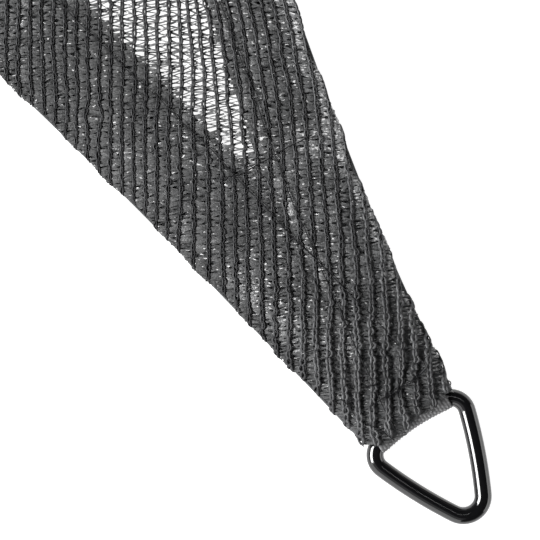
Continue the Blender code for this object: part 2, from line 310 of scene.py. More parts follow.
def drawnHem(name, side, s):
    # Hem width as drawn: as shown at corner a, and the plain width at the others
    if name != "a":
        return hemOf(name, side)
    return np.where(side > 0, np.interp(s, *drawnHems[1.0]), np.interp(s, *drawnHems[-1.0]))


def edgeDistance(t, s):
    # Distance inwards from the nearer edge, the side it is on, the edge's angle there and half width
    halfWidth = np.interp(s, edgeS, edgeT)
    angle = np.interp(s, edgeS, edgeAngle)
    side = np.where(t >= 0.0, 1.0, -1.0)
    return (halfWidth - np.abs(t)) * np.cos(angle), side, angle, halfWidth


def topHeight(name, t, s):
    # Height of the sheet's middle: from the edge's height it rises to the crown's over the shoulder,
    # and comes down to the open field past the hem. Also the edge's place and height beside it.
    distance, side, angle, _ = edgeDistance(t, s)
    distance = np.maximum(distance, 0.0)
    footS = s - distance * np.sin(angle) * smooth(s, *sail["footTurn"])
    footS = np.maximum(footS, -sail["endOverhang"])
    depth = distance + np.abs(t) / np.cos(angle)
    edgeZ = crownHeight(footS, footS, True)
    rise = np.clip(distance / np.maximum(depth - shoulder, 1 * mm), 0.0, 1.0)
    z = edgeZ + (crownHeight(s, footS, False) - edgeZ) * np.sin(rise * math.pi / 2)
    inField = smooth(distance - hemOf(name, side), *sail["fieldStart"])
    inField = inField * smooth(depth, *sail["fieldDepth"])
    plan = cornerToPlan(name, t, s)
    z = z + (sail["cloth"] / 2 + fieldHeight(plan) - z) * inField
    if name == "a":
        z = z + creaseHeight(*gridPlace(plan))
    return z, footS, edgeZ


def flapHeight(footS, side):
    # The flap that ends at a corner lies over the one that starts there
    lift = np.where(side > 0, 0.0, layer)
    return lowFlapZ + lift * (1.0 - smooth(footS, *sail["doubleHem"]))


# The knit's grid: ribs run along one direction over the whole sail, 4.15 mm apart, with a course
# every 2.55 mm. Near corner a they lean and spread as the corner was pulled.

knit = {
    "pitch": 4.153 * mm,
    "course": 2.55 * mm,
    "bearing": 57.5,                # direction of the ribs
    "ribZeroX": -145.7 * mm,        # from the bar of ring a, across the ribs
    "topY": 151.6 * mm,             # where the lean is measured from, along the ribs
    "leanShift": -3.04 * mm,
    "leanRange": 7.73 * mm,
    "leanFrom": 7.2 * mm,           # below topY
    "leanLength": 38.3 * mm,
    "leanRibs": (14.1, 18.9),
    "spreadRib": 20.0,
    "spreadMost": 25.0,             # ribs past spreadRib
    "spread": 0.80 * mm,            # reached at spreadLength below topY
    "spreadLength": 122.8 * mm,
    "endStitch": 12.7 * mm,
    "endInwards": (-0.568, 0.823),  # from the bar into the sail, across and along the ribs
    "endSlant": 0.27,
    "endReach": 20 * mm,
    "warpReach": (0.25, 0.75),
    "zoneFoot": {"a": 212 * mm, "b": 140 * mm, "c": 140 * mm},
    "seamShare": 0.835,             # where a hem's seam runs, as a share of its width
    "wrap": 3 * mm,                 # how far round the edge there are stitches
    "tapesBack": 0.5 * mm,          # the tapes end this much before the ribs at the cut end
    "ragged": 0.9 * mm,             # unevenness of the hems' free edges
}
# Near corner a, in mm across and along the ribs from its ring's bar.
# Places where the ribs are pulled aside: across, along, reach, amount
ribPulls = ((-85, 122, 13, 1.3), (-132, 115, 13, 1.4), (-33, 29, 11, -1.1), (-4, 34, 9, -1.4),
            (-69, 144, 8, 0.9), (-47, 130, 8, -0.8), (-117, 110, 3, -1.2), (-112, 110, 3, 1.2))
# Painted light and shade: lighter and darker places of the knit, across, along, reach, amount
paintedLightAndShade = ((-44, 26, 6, -0.25), (-36, 28, 6, 0.50), (-21, 28, 6, 0.44), (-118, 128, 20, -0.38),
           (-98, 112, 13, -0.26), (-1, 14, 13, -0.75), (-13, 43, 7, -0.60), (-36, 100, 7, 0.60),
           (-58, 78, 8, -0.28), (-72, 58, 8, -0.30), (-83, 79, 9, -0.34), (-29, 68, 5, -0.25),
           (-6, 48, 5, 0.70), (0, 38, 5, 0.30), (-65, 68, 8, -0.25), (7, 8, 7, -0.70),
           (-7, 27, 6, -0.50), (-43, 112, 6, -0.35), (-92, 93, 10, -0.15), (-8, 14, 6, -0.40),
           (-44, 36, 5, 0.40))
# Creases of the laid cloth: half width, height (a trough is below 0) and the places it runs through
creases = (
    (2.6, -0.65, ((-50, 86), (-42, 69), (-33.5, 51), (-27.7, 39), (-26, 29), (-22, 17))),
    (3.0, 0.35, ((-44, 83), (-36, 65), (-31, 54), (-27.8, 42), (-21, 23))),
    (2.4, -0.5, ((-15, 36), (-8, 22), (-5, 10))),
    (2.2, 0.3, ((-12, 40), (-4, 26), (0, 16))),
    (2.4, -0.4, ((-79, 62), (-62, 44), (-45, 27), (-31, 12))),
)
# The rows sewn near the ring and the threads lying loose
threadsOfA = (
    ((-35.8, 102.5), (-46.5, 96.9), (-61.3, 88.2), (-68.9, 87.0)),
    ((-14.6, 5.8), (-9.4, 9.0), (-4.6, 12.2), (-1.0, 14.2), (4.6, 19.4)),
    ((-12.0, 7.6), (-6.6, 10.0), (0.4, 14.4), (5.2, 19.0)),
    ((-16.4, -0.9), (-11.0, -3.4), (-6.3, -6.6)),
    ((-25.6, 7.9), (-22.6, 5.2), (-20.3, 1.7)),
    ((-16.8, 12.2), (-14.0, 12.8), (-11.1, 12.4)),
    ((1.5, 25.3), (2.4, 22.6), (4.6, 20.1)),
)
# How far the stitches are pressed down, with half widths: by a hem's seam, and by the first threads.
# Pressed stitches are also painted darker, as painted shade in the pinch.
pressing = {"seam": 0.55, "seamWidth": 0.6 * mm, "threads": (0.2, 0.75, 0.75), "threadWidth": 0.8 * mm}
# The cloth's cut end over the webbing's loop, further out at the loop's left: places t and s
clothEnds = (np.array((-18.3, -16.8, -15.4, -13.6, -8.5, -3.4, 2.2, 7.8, 12.4)) * mm,
             np.array((2.6, 1.0, -0.3, -1.4, -1.4, -0.85, -0.15, 0.37, 0.9)) * mm)
ribAngle = math.radians(knit["bearing"])
ribDirection = np.array([math.cos(ribAngle), math.sin(ribAngle)])
acrossDirection = np.array([ribDirection[1], -ribDirection[0]])
barOfA = cornerToPlan("a", np.zeros(1), np.zeros(1))[0]


def gridPlace(plan):
    # Distances across and along the ribs from ring a's bar
    return (plan - barOfA) @ acrossDirection, (plan - barOfA) @ ribDirection


def fromBar(x, y):
    # The inverse of gridPlace
    return barOfA + x[..., None] * acrossDirection + y[..., None] * ribDirection


def fromLine(x, y, spots):
    # Distance to a bent line through places given in mm
    nearest = np.full(np.shape(x), 1.0)
    spots = np.array(spots) * mm
    for start, end in zip(spots[:-1], spots[1:]):
        step = end - start
        share = np.clip(((x - start[0]) * step[0] + (y - start[1]) * step[1]) / (step @ step), 0.0, 1.0)
        apart = np.hypot(x - start[0] - share * step[0], y - start[1] - share * step[1])
        nearest = np.minimum(nearest, apart)
    return nearest


def creaseHeight(x, y):
    # Sum of the creases, each height exp(-(distance / half width)^2)
    return sum(height * mm * bell(fromLine(x, y, spots), width * mm) for width, height, spots in creases)


def around(x, y, spots):
    # Sum of round places given in mm, each amount exp(-(distance / reach)^2)
    return sum(amount * bell(np.hypot(x - atX * mm, y - atY * mm), reach * mm)
               for atX, atY, reach, amount in spots)


def pressedBy(x, y, distance, hem):
    # How far the seams press the stitches down, 0 to 1
    press = pressing["seam"] * bell(distance - hem * knit["seamShare"], pressing["seamWidth"])
    for spots, depth in zip(threadsOfA, pressing["threads"]):
        press = np.maximum(press, depth * bell(fromLine(x, y, spots), pressing["threadWidth"]))
    return press


def wobble(x, y):
    # Slow unevenness of the knit: a few crossed sine waves, up to 0.42 mm each way
    a = np.sin(x / 0.0113 + 2.1 * np.sin(y / 0.031)) * np.sin(y / 0.0171 + 0.8)
    b = np.sin(x / 0.0287 - 1.3) * np.sin(y / 0.0089 + x / 0.05)
    return 0.24 * mm * a + 0.18 * mm * b


def clothEnd(t):
    # Where the cloth's cut end lies, with a fine ripple
    return np.interp(t, *clothEnds) + 0.2 * mm * np.sin(t / 0.0016)


def gridToPlan(rib, y):
    # Plan point of rib number `rib` at distance y along the ribs from ring a's bar:
    # across = zero + pitch rib + pulls + wobble, and lean + spread + slant, which fade from corner a
    x = knit["ribZeroX"] + knit["pitch"] * rib
    below = np.maximum(knit["topY"] - y, 0.0)
    lean = 1.0 - np.exp(-(below - knit["leanFrom"]) / knit["leanLength"])
    lean = smooth(rib, *knit["leanRibs"]) * (knit["leanShift"] + knit["leanRange"] * lean)
    spread = knit["spread"] * np.clip(rib - knit["spreadRib"], 0.0, knit["spreadMost"])
    spread = spread * np.minimum(below / knit["spreadLength"], 1.0)
    fade = 1.0 - smooth(np.hypot(x, y), *knit["warpReach"])
    inwards = knit["endInwards"][0] * x + knit["endInwards"][1] * y
    slant = knit["endSlant"] * np.clip(knit["endStitch"] - inwards, 0.0, knit["endReach"])
    x = x + (lean + spread + slant) * fade + mm * around(x, y, ribPulls) + wobble(x, y)
    return fromBar(x, y + wobble(y + 0.3, x))


clothEdge = {
    # Scallops along the edge: depth, wave length over 2 pi, and phase by side
    "scallops": ((0.35 * mm, 3.5 * mm, 1), (0.4 * mm, 7.1 * mm, 2)),
    "scallopReach": 12 * mm,
    "radius": (0.5 * mm, 1.6 * mm),     # least and most radius of the fold
    "foldReach": 20 * mm,
    "flatter": 0.65,                    # share of the stitches' height lost at the edge
    "flatterReach": 3 * mm,
}


def clothPoint(name, rib, y, height):
    # A point of the cloth at grid place (rib, y), `height` above its middle, with the cloth folded
    # under along the edges: inset = r - r cos(d/r) and z = middle + r sin(d/r) round the fold.
    # Also returned: the cloth's outward normal there, and how far a seam presses it down.
    plan = gridToPlan(rib, y)
    t, s = planToCorner(name, plan)
    distance, side, angle, _ = edgeDistance(t, s)
    scallop = sum(size * np.sin(s / wave + phase * side) for size, wave, phase in clothEdge["scallops"])
    distance = distance - scallop * (1.0 - smooth(distance, 0.0, clothEdge["scallopReach"]))
    _, footS, edgeZ = topHeight(name, t, s)
    radius = np.clip((edgeZ - flapHeight(footS, side)) / 2, *clothEdge["radius"])
    quarter = radius * math.pi / 2
    turn = np.clip(distance / radius, -math.pi / 2, math.pi / 2)
    onTop = distance + (radius - quarter) * (1.0 - smooth(distance, quarter, clothEdge["foldReach"]))
    folded = np.where(distance < -quarter, radius - distance - quarter, radius * (1.0 - np.cos(turn)))
    shift = np.where(distance > quarter, onTop, folded) - distance
    t = t - side * np.cos(angle) * shift
    s = s + np.sin(angle) * shift
    z = np.where(distance > quarter, topHeight(name, t, s)[0], edgeZ - radius + radius * np.sin(turn))
    there = cornerToPlan(name, t, s)
    little = 1e-4
    tip = cornerToPlan(name, t + little * np.cos(turn) * side * np.cos(angle),
                       s - little * np.cos(turn) * np.sin(angle))
    normal = unit(raised((tip - there) / little, np.sin(turn)))
    atEdge = 1.0 - smooth(distance, 0.0, clothEdge["flatterReach"])
    height = height * (1.0 - clothEdge["flatter"] * atEdge)
    press = 0.0 * distance
    if name == "a":
        press = pressedBy(*gridPlace(plan), distance, hemOf(name, side))
    return raised(there, z) + (height * (1.0 - press))[..., None] * normal, normal, press


def gridRange(name):
    # Whole numbers of ribs and courses that can lie in a corner's zone
    past, margin, halfWidth = 5 * mm, 60 * mm, 110 * mm
    outward, sideways = cornerAxes(name)
    tip = outward * (centreRadius + past)
    back = outward * (centreRadius - knit["zoneFoot"][name] - margin)
    x, y = gridPlace(np.array([tip - margin * sideways, tip + margin * sideways,
                               back - halfWidth * sideways, back + halfWidth * sideways]))
    numbers = [np.arange(math.floor(line.min()) - 3, math.ceil(line.max()) + 3)
               for line in ((x - knit["ribZeroX"]) / knit["pitch"], y / knit["course"])]
    rib, course = np.meshgrid(*numbers, indexing="ij")
    return rib.ravel().astype(float), course.ravel().astype(float)


# Tone of the stitches: lighter along the right edge, as painted light on the fold there, and darker on the
# left half and along its edge
edgeTone = {"right": 1.00, "rightReach": (1 * mm, 9 * mm),
            "left": -0.08, "leftEdge": -0.45, "leftReach": (0.0, 6 * mm)}


def stitchesOf(name, ribOffset):
    # The stitches of a corner's zone whose middle is on the cloth, or up to the wrap round its edge:
    # rib, course, whether in a hem, s, distance from the cut end, and tone, which is painted light and
    # shade
    rib, course = gridRange(name)
    plan = gridToPlan(rib + ribOffset, (course + 0.5) * knit["course"])
    t, s = planToCorner(name, plan)
    distance, side, angle, halfWidth = edgeDistance(t, s)
    footS = s - np.maximum(distance, 0.0) * np.sin(angle)
    endOf = clothEnd(t) + (knit["tapesBack"] if ribOffset else 0.0)
    keep = (distance > -knit["wrap"]) & (footS < knit["zoneFoot"][name]) & (s > endOf)
    farSide = (halfWidth + np.abs(t)) * np.cos(angle)
    ragged = knit["ragged"] * np.sin(12.9 * rib + 78.2 * course)
    inHem = (distance + ragged < drawnHem(name, side, s)) | (farSide < drawnHem(name, -side, s))
    # Painted light along the right edge's fold; darker on the left half and along its edge
    tone = edgeTone["right"] * (side > 0) * (1.0 - smooth(distance, *edgeTone["rightReach"]))
    atLeft = edgeTone["leftEdge"] * (1.0 - smooth(distance, *edgeTone["leftReach"]))
    tone = tone + (edgeTone["left"] + atLeft) * (side < 0)
    # Painted light and shade: lighter and darker places near corner a
    if name == "a":
        tone = tone + around(*gridPlace(plan), paintedLightAndShade)
    return [values[keep] for values in (rib, course, inHem, s, s - endOf, tone)]


def byPlace(amounts, inHem, nearRing):
    # An amount in the hems, with what is added near a ring, or the one in the open cloth
    hems, near, inOpen = amounts
    return np.where(inHem, hems + near * nearRing, inOpen)


# Materials

class Shade:
    # A number or socket of a node tree; the operators add Math nodes
    def __init__(self, tree, value):
        self.tree, self.value = tree, value

    def math(self, operation, *others):
        return addNode(self.tree, "ShaderNodeMath", {"operation": operation},
                       dict(enumerate((self, *others))))

    def __add__(self, other):
        return self.math("ADD", other)

    __radd__ = __add__

    def __mul__(self, other):
        return self.math("MULTIPLY", other)

    __rmul__ = __mul__

    def __sub__(self, other):
        return self.math("SUBTRACT", other)

    def __rsub__(self, other):
        return Shade(self.tree, other).math("SUBTRACT", self)

    def __truediv__(self, other):
        return self.math("DIVIDE", other)


def addNode(tree, kind, settings=None, inputs=None, output=0):
    # A node of a type: its settings first, then the values or links of its sockets
    node = tree.nodes.new(kind)
    for key, value in (settings or {}).items():
        if key == "stops":
            for index, (place, colour) in enumerate(value):
                stops = node.color_ramp.elements
                stop = stops[index] if index < 2 else stops.new(place)
                stop.position, stop.color = place, (*colour, 1.0)
        else:
            setattr(node, key, value)
    for key, value in (inputs or {}).items():
        value = value.value if isinstance(value, Shade) else value
        if isinstance(value, bpy.types.NodeSocket):
            tree.links.new(value, node.inputs[key])
        else:
            node.inputs[key].default_value = value
    return Shade(tree, node.outputs[output])


class Surface:
    # A material with a Principled BSDF, and the nodes that several materials use
    def __init__(self, name, specular=0.5):
        self.material = bpy.data.materials.new(name)
        self.material.use_nodes = True
        self.tree = self.material.node_tree
        self.sockets = self.tree.nodes["Principled BSDF"].inputs
        self.sockets["Specular IOR Level"].default_value = specular

    def feed(self, socket, shade):
        # Links a value to one of the shader's sockets
        self.tree.links.new(shade.value, self.sockets[socket])

    def attribute(self, name):
        # The mesh's own value per point
        return addNode(self.tree, "ShaderNodeAttribute", {"attribute_name": name}, output=2)

    def place(self, stretch=1.0):
        # Object coordinates along the ribs, with a pattern stretched across them
        spot = addNode(self.tree, "ShaderNodeTexCoord", output=3)
        return addNode(self.tree, "ShaderNodeMapping", {"vector_type": "TEXTURE"},
                       {"Vector": spot, "Rotation": (0, 0, ribAngle - math.pi / 2),
                        "Scale": (stretch, 1.0, 1.0)})

    def noise(self, place, scale, detail, roughness=0.5):
        # Smooth noise of about `scale` grains a metre
        return addNode(self.tree, "ShaderNodeTexNoise", None,
                       {"Vector": place, "Scale": scale, "Detail": detail, "Roughness": roughness})

    def mix(self, factor, dark, light):
        # Colour between two colours by a factor
        ends = [end if isinstance(end, Shade) else (*end, 1) for end in (dark, light)]
        return addNode(self.tree, "ShaderNodeMix", {"data_type": "RGBA"},
                       {"Factor": factor, 6: ends[0], 7: ends[1]}, output=2)

    def bump(self, strength, distance, height):
        # Relief from a height, as the shader's normal
        self.feed("Normal", addNode(self.tree, "ShaderNodeBump", None,
                                    {"Strength": strength, "Distance": distance, "Height": height}))


filmLook = {
    "dark": (0.013, 0.0133, 0.0137),
    "light": (0.190, 0.192, 0.194),
    "glint": (0.55, 0.55, 0.55),
    "glints": (0.635, 0.70),        # levels of their noise where they start and are full
    "roughness": (0.22, 0.46),
    "grain": 1700.0,
    "paintedGlint": 1500.0,
    "crinkle": 2300.0,
    "bump": 0.24 * mm,
}


def filmMaterial():
    # Knitted film tape: grey varies with each tape, with painted glints as bright specks, and fine streaks
    # in its roughness and bump
    made = Surface("tapeFilm", 0.6)
    shade, place = made.attribute("shade"), made.place(2.0)
    grain = made.noise(place, filmLook["grain"], 2.0, 0.6)
    plain = made.mix(shade * 0.8 + grain * 1.1 - 0.45, filmLook["dark"], filmLook["light"])
    # Painted glints: sparse bright specks mixed into the base colour
    paintedGlint = made.noise(place, filmLook["paintedGlint"], 0.0, 0.4) * 0.85 + shade * 0.15
    start, full = filmLook["glints"]
    paintedGlint = addNode(made.tree, "ShaderNodeMapRange", None,
                    {"Value": paintedGlint, 1: start, 2: full, 3: 0.0, 4: 1.0})
    made.feed("Base Color", made.mix(paintedGlint, plain, filmLook["glint"]))
    low, high = filmLook["roughness"]
    dull = (shade * -1.2 + 0.4).math("MAXIMUM", 0.0)
    made.feed("Roughness", grain * (high - low) + low + dull)
    made.bump(0.9, filmLook["bump"], made.noise(place, filmLook["crinkle"], 2.0))
    return made.material


ribLook = {"dark": (0.010, 0.010, 0.011), "light": (0.075, 0.076, 0.078), "roughness": 0.4,
           "grain": 1900.0, "streak": 650.0}


def ribMaterial():
    # Chain-stitch strands: smooth drawn yarn, slightly streaked
    made = Surface("ribYarn", 0.3)
    grain = made.noise(made.place(), ribLook["grain"], 2.0)
    streak = made.noise(made.place(), ribLook["streak"], 1.0)
    tone = made.attribute("shade") * (streak * 2.6 - 0.4) + grain * 0.4 - 0.1
    made.feed("Base Color", made.mix(tone, ribLook["dark"], ribLook["light"]))
    made.feed("Roughness", grain * 0.2 + ribLook["roughness"])
    made.bump(0.5, 0.05 * mm, grain)
    return made.material


clothLook = {
    "dark": (0.022, 0.023, 0.024),
    "light": (0.085, 0.087, 0.089),
    "under": 0.75,                  # how light the cloth under the real stitches is, as a share
    "openLevel": 0.50,              # the tapes' noise is open cloth below this
    "tapes": (420.0, 1700.0),       # scales of that noise across and along the ribs
    "ribEdge": 0.34,                # a rib begins this share of the pitch from a cell's middle
    "hole": (0.22, 0.45),           # a stitch's hole: share of the course, and from where as a rib's
}


def clothMaterial():
    # The same knit as a pattern on the cloth's own flat map (metres across and along the ribs):
    # ribs every pitch, tapes as noise stretched across, open where both are missing
    made = Surface("knitCloth", 0.25)
    flat = addNode(made.tree, "ShaderNodeUVMap", {"uv_map": "cloth"})
    across, along = (addNode(made.tree, "ShaderNodeSeparateXYZ", None, {"Vector": flat}, output=k)
                     for k in range(2))
    fromRib = (((across - knit["ribZeroX"]) / knit["pitch"]).math("FRACT") - 0.5).math("ABSOLUTE")
    rib = fromRib.math("GREATER_THAN", clothLook["ribEdge"])
    scales = clothLook["tapes"]
    stretched = addNode(made.tree, "ShaderNodeCombineXYZ", None,
                        {0: across * scales[0], 1: along * scales[1], 2: 0.0})
    tapes = made.noise(stretched, 1.0, 1.5, 0.55)
    solid = rib.math("MAXIMUM", tapes.math("GREATER_THAN", clothLook["openLevel"]))
    course = (along / knit["course"]).math("FRACT")
    share, start = clothLook["hole"]
    hole = course.math("LESS_THAN", share) * fromRib.math("GREATER_THAN", start)
    backing = made.attribute("backing")
    made.feed("Alpha", (solid - hole).math("MAXIMUM", backing))
    plain = made.mix((tapes - 0.32) * 2.2, clothLook["dark"], clothLook["light"])
    under = tuple(value * clothLook["under"] for value in clothLook["light"])
    made.feed("Base Color", made.mix(backing, plain, under))
    made.bump(0.8, 0.35 * mm, tapes * 0.6 + rib * 0.5)
    made.feed("Roughness", (tapes * 0.3 + 0.5).math("MAXIMUM", backing * 0.95))
    return made.material


threadLook = {"dark": (0.002, 0.002, 0.0025), "light": (0.014, 0.014, 0.015), "twist": 2600.0}


def threadMaterial():
    # Sewing thread: dark, a little shiny, twisted
    made = Surface("sewingThread", 0.12)
    twist = made.noise(made.place(), threadLook["twist"], 1.0)
    made.feed("Base Color", made.mix(twist, threadLook["dark"], threadLook["light"]))
    made.feed("Roughness", twist * 0.2 + 0.4)
    return made.material


webLook = {"dark": (0.022, 0.022, 0.023), "light": (0.34, 0.34, 0.345), "fibre": 3000.0}


def webMaterial():
    # Woven webbing: painted light on the yarns' crowns, painted shade between them
    made = Surface("webbingYarn")
    fibre = made.noise(made.place(), webLook["fibre"], 3.0, 0.6)
    tone = made.attribute("shade") * 0.8 + fibre * 0.3 - 0.05
    made.feed("Base Color", made.mix(tone, webLook["dark"], webLook["light"]))
    made.feed("Roughness", fibre * 0.2 + 0.6)
    made.bump(0.7, 0.05 * mm, fibre)
    made.sockets["Sheen Weight"].default_value = 0.15
    return made.material


ringLook = {"colour": (0.0015, 0.0015, 0.0018), "worn": (0.004, 0.004, 0.0045), "roughness": 0.05,
            "peel": 260.0, "rub": 900.0}


def ringMaterial():
    # Gloss black coating with a faint orange-peel and fine rub marks
    made = Surface("glossBlack", 0.8)
    place = made.place()
    rub = made.noise(place, ringLook["rub"], 4.0)
    made.feed("Base Color", made.mix(rub, ringLook["colour"], ringLook["worn"]))
    made.feed("Roughness", rub * 0.06 + ringLook["roughness"])
    made.bump(0.25, 0.02 * mm, made.noise(place, ringLook["peel"], 2.0))
    return made.material


film, ribYarn, clothKnit = filmMaterial(), ribMaterial(), clothMaterial()
thread, webYarn, blackGloss = threadMaterial(), webMaterial(), ringMaterial()
print("materials made")


# Chain-stitch ribs as real loops. Three amounts are in the hems, added near a ring, and in the open
# cloth, and two without a note are everywhere and added near a ring.

chain = {
    "halfWidth": 0.58 * mm,
    "uneven": (0.18, 0.08),
    "wider": 0.10,                  # near a ring
    "narrower": (0.30, 0.18),       # in the open cloth, and in the hems away from a ring
    "skew": (0.20 * mm, 0.12 * mm),
    "strand": 0.39 * mm,            # half the strand's width
    "strandHeight": 0.19 * mm,
    "thicker": (0.72, 0.38),        # strands near a ring, and in the open cloth
    "lift": 0.34 * mm,              # the ribs' height among the tapes
    "nearLift": 0.50 * mm,          # added near a ring, where the ribs stand proud
    "roll": (0.70, -0.60, 0.25),    # away from the loop's middle
    "wander": 0.16 * mm,
    "sides": 4,
    # Painted light and shade: ribs are lighter near a ring, as painted light on the proud ribs, and darker
    # in the open cloth, as painted shade of strands seen against the bright floor
    "tone": (0.40, 0.36, -0.28),    # the last is added in the open cloth
    "toneReach": (8 * mm, 65 * mm),
    "nearReach": (10 * mm, 100 * mm),
    # Painted shade: the strand on the far side from the light is darker
    "shadedFarStrand": 0.62,              # how much darker the strand on the far side is
}
# Loop outline: across (share of the half width), along (courses) and height (mm)
loopOutline = np.array([
    (-0.30, -0.12, -0.20), (-0.62, 0.10, 0.05), (-1.00, 0.42, 0.22), (-0.98, 0.72, 0.26),
    (-0.60, 1.02, 0.12), (0.00, 1.15, -0.06), (0.60, 1.02, 0.12), (0.98, 0.72, 0.26),
    (1.00, 0.42, 0.22), (0.62, 0.10, 0.05), (0.30, -0.12, -0.20)])


def buildRibs(name, outline):
    # One loop for each stitch: a tube along the outline, laid on the cloth
    rib, course, inHem, s, fromEnd, paintedTone = stitchesOf(name, 0.0)
    rng = np.random.default_rng(11)
    count = len(rib)
    nearRing = 1.0 - smooth(s, *chain["nearReach"])
    uneven = chain["uneven"][0] + chain["uneven"][1] * nearRing
    width = 1.0 + uneven * rng.standard_normal(count) + chain["wider"] * nearRing
    width = chain["halfWidth"] * np.clip(width, 0.5, 1.5) * (0.6 + 0.4 * smooth(fromEnd, 0.0, 3 * mm))
    inOpen, inFarHem = chain["narrower"]
    width = width * (1.0 - inOpen * ~inHem - inFarHem * inHem * (1.0 - nearRing))
    skew = (chain["skew"][0] + chain["skew"][1] * nearRing) * rng.standard_normal(count)
    wander = chain["wander"] * (1.0 + 0.6 * nearRing)
    wander = wander * np.sin(1.9 * rib + 0.55 * course + np.sin(rib + course / 7))
    across = outline[:, 0] * width[:, None] + skew[:, None] * np.sin(outline[:, 1] * 2.6)
    across = across + wander[:, None]
    along = course[:, None] + outline[:, 1] * (1.0 + 0.04 * rng.standard_normal((count, 1)))
    height = chain["lift"] + outline[:, 2] * mm + 0.05 * mm * rng.standard_normal((count, 1))
    height = height + (chain["nearLift"] * nearRing)[:, None]
    path, normal, press = clothPoint(name, rib[:, None] + across / knit["pitch"],
                                     along * knit["course"], height)
    roll = byPlace(chain["roll"], inHem, nearRing)[:, None]
    near, inOpen = chain["thicker"]
    strand = (1.0 + near * nearRing + inOpen * ~inHem)[:, None]
    points, faces = sweep(path, normal, chain["strand"] * strand, chain["strandHeight"] * strand,
                          chain["sides"], roll)
    # Painted light and shade: lighter near a ring, darker in the open cloth, darker on the far strand in
    # the hems, and darker where a seam presses the stitches
    hems, near, inOpen = chain["tone"]
    tone = hems + 0.08 * rng.standard_normal(count) + near * (1.0 - smooth(s, *chain["toneReach"]))
    tone = tone + inOpen * ~inHem
    shadedFarStrand = smooth(outline[:, 0], -0.2, 0.8) * (inHem * (1.0 - nearRing))[:, None]
    tone = (tone + 0.75 * paintedTone)[:, None] - chain["shadedFarStrand"] * shadedFarStrand - 0.9 * press
    shade = np.repeat(np.clip(tone, -0.1, 1.1).ravel(), chain["sides"])
    print("ribs", name, count, "stitches")
    return makePiece(f"rib_loops_{name}", points, faces, ribYarn, {"shade": shade})


# Film tapes laid to and fro between the ribs

tape = {
    "thickness": 0.06 * mm,
    "halfWidth": (0.76 * mm, -0.38 * mm, 0.42 * mm),
    "arch": 0.30 * mm,
    "archShares": (1.35, -0.5, 0.6),
    "sunk": (0.12 * mm, 0.30 * mm),
    "loose": (0.10, -0.04),         # shares of a course
    "roll": (0.27, 0.12, 0.25),
    # Painted light and shade: tapes are darker near a ring, as painted shade between the ribs, and lighter
    # in the open cloth, as painted light through the thin film
    "tone": (0.245, -0.145, 0.30),  # the last is added in the open cloth
    "uneven": (0.10, 0.12),         # of tone, everywhere and added in the open cloth
    "slow": 0.12,
    "nearReach": (15 * mm, 75 * mm),
    "sides": 4,
}
# Each tape of a course: along at its left and right rib (courses), and width
tapeRuns = ((0.04, 0.30, 1.0), (0.66, 0.36, 1.0), (0.70, 0.98, 0.9))


def oneTape(name, number, steps):
    # Ribbons from rib to rib: flat sections that roll and arch as they cross the cell
    left, right, wide = tapeRuns[number]
    rib, course, inHem, s, _, paintedTone = stitchesOf(name, 0.5)
    rng = np.random.default_rng(100 + number)
    count = len(rib)
    u = np.linspace(0.0, 1.0, steps + 1)
    hump = np.sin(math.pi * u)
    nearRing = 1.0 - smooth(s, *tape["nearReach"])
    loose = tape["loose"][0] + tape["loose"][1] * nearRing[:, None]
    jitter = loose * rng.standard_normal((count, 2))
    start, end = left + jitter[:, :1], right + jitter[:, 1:]
    bow = loose * rng.standard_normal((count, 1)) * hump
    along = course[:, None] + start + (end - start) * smooth(u, 0.0, 1.0) + bow
    arch = tape["arch"] * (0.8 + 0.4 * rng.random((count, 1)))
    arch = arch * byPlace(tape["archShares"], inHem, nearRing)[:, None]
    puff = np.sin(math.pi * np.clip(u * 1.12 - 0.12, 0.0, 1.0)) ** 0.45
    height = arch * puff + 0.08 * mm * rng.standard_normal((count, 1))
    height = height - (tape["sunk"][0] + tape["sunk"][1] * nearRing[:, None])
    half = byPlace(tape["halfWidth"], inHem, nearRing) * wide
    half = half * np.clip(1.0 + 0.35 * rng.standard_normal(count), 0.4, 1.9)
    half = half[:, None] * (0.85 + 0.15 * hump)
    roll = byPlace(tape["roll"], inHem, nearRing)[:, None] * rng.standard_normal((count, 1))
    roll = roll + 0.3 * rng.standard_normal((count, 1)) * (u - 0.5)
    path, normal, press = clothPoint(name, rib[:, None] + u, along * knit["course"], height)
    points, faces = sweep(path, normal, half, tape["thickness"], tape["sides"], roll)
    slow = np.sin(2.4 * rib + 0.21 * course) * np.sin(1.7 * rib - 0.13 * course + 1.0)
    # Tone with random unevenness, plus painted light and shade; tapes pressed by a seam are painted darker
    tone = (tape["uneven"][0] + tape["uneven"][1] * ~inHem) * rng.standard_normal(count)
    base, near, inOpen = tape["tone"]
    tone = tone + base + near * nearRing + inOpen * ~inHem + tape["slow"] * slow
    tone = np.clip((tone + paintedTone)[:, None] - 0.8 * press, 0, 1.1)
    return (points, faces), np.repeat(tone.ravel(), tape["sides"])


def buildTapes(name, numbers, steps, title="knit_tapes"):
    # The numbered tapes of every course as one piece
    parts, shades = zip(*(oneTape(name, number, steps) for number in numbers))
    points, faces = joined(parts)
    print("tapes", name, len(points), "points")
    return makePiece(f"{title}_{name}", points, faces, film,
                     {"shade": np.concatenate(shades)}, smoothShade=False)


# The cloth as one sheet: flaps, folds and the open field, with the knit as a pattern on it. In the
# corners' zones its open part is left out, and its hems lie under the real stitches.

sheet = {
    "thickness": 0.5 * mm,
    "columnStep": 24 * mm,
    "zoneStep": 8 * mm,
    "flapRows": 7,
    "foldRows": 5,
    "hemRows": 6,
    "topRows": 8,
    "backing": 1.2 * mm,            # the sheet lies this far under the stitches near a corner
    "lowest": 0.35 * mm,            # but not lower than this
    "hemShort": 0.07,               # and ends this share short of the hems' free edges
    "edgeShort": 0.6 * mm,          # or this far short of them at corner a
    "foldBack": 0.15 * mm,          # and this far in from the folds
    "foldDrop": 0.25 * mm,          # whose half height is less by this
    "endBack": 0.3 * mm,            # and this far in from the cut end
    "weld": 0.05 * mm,
}


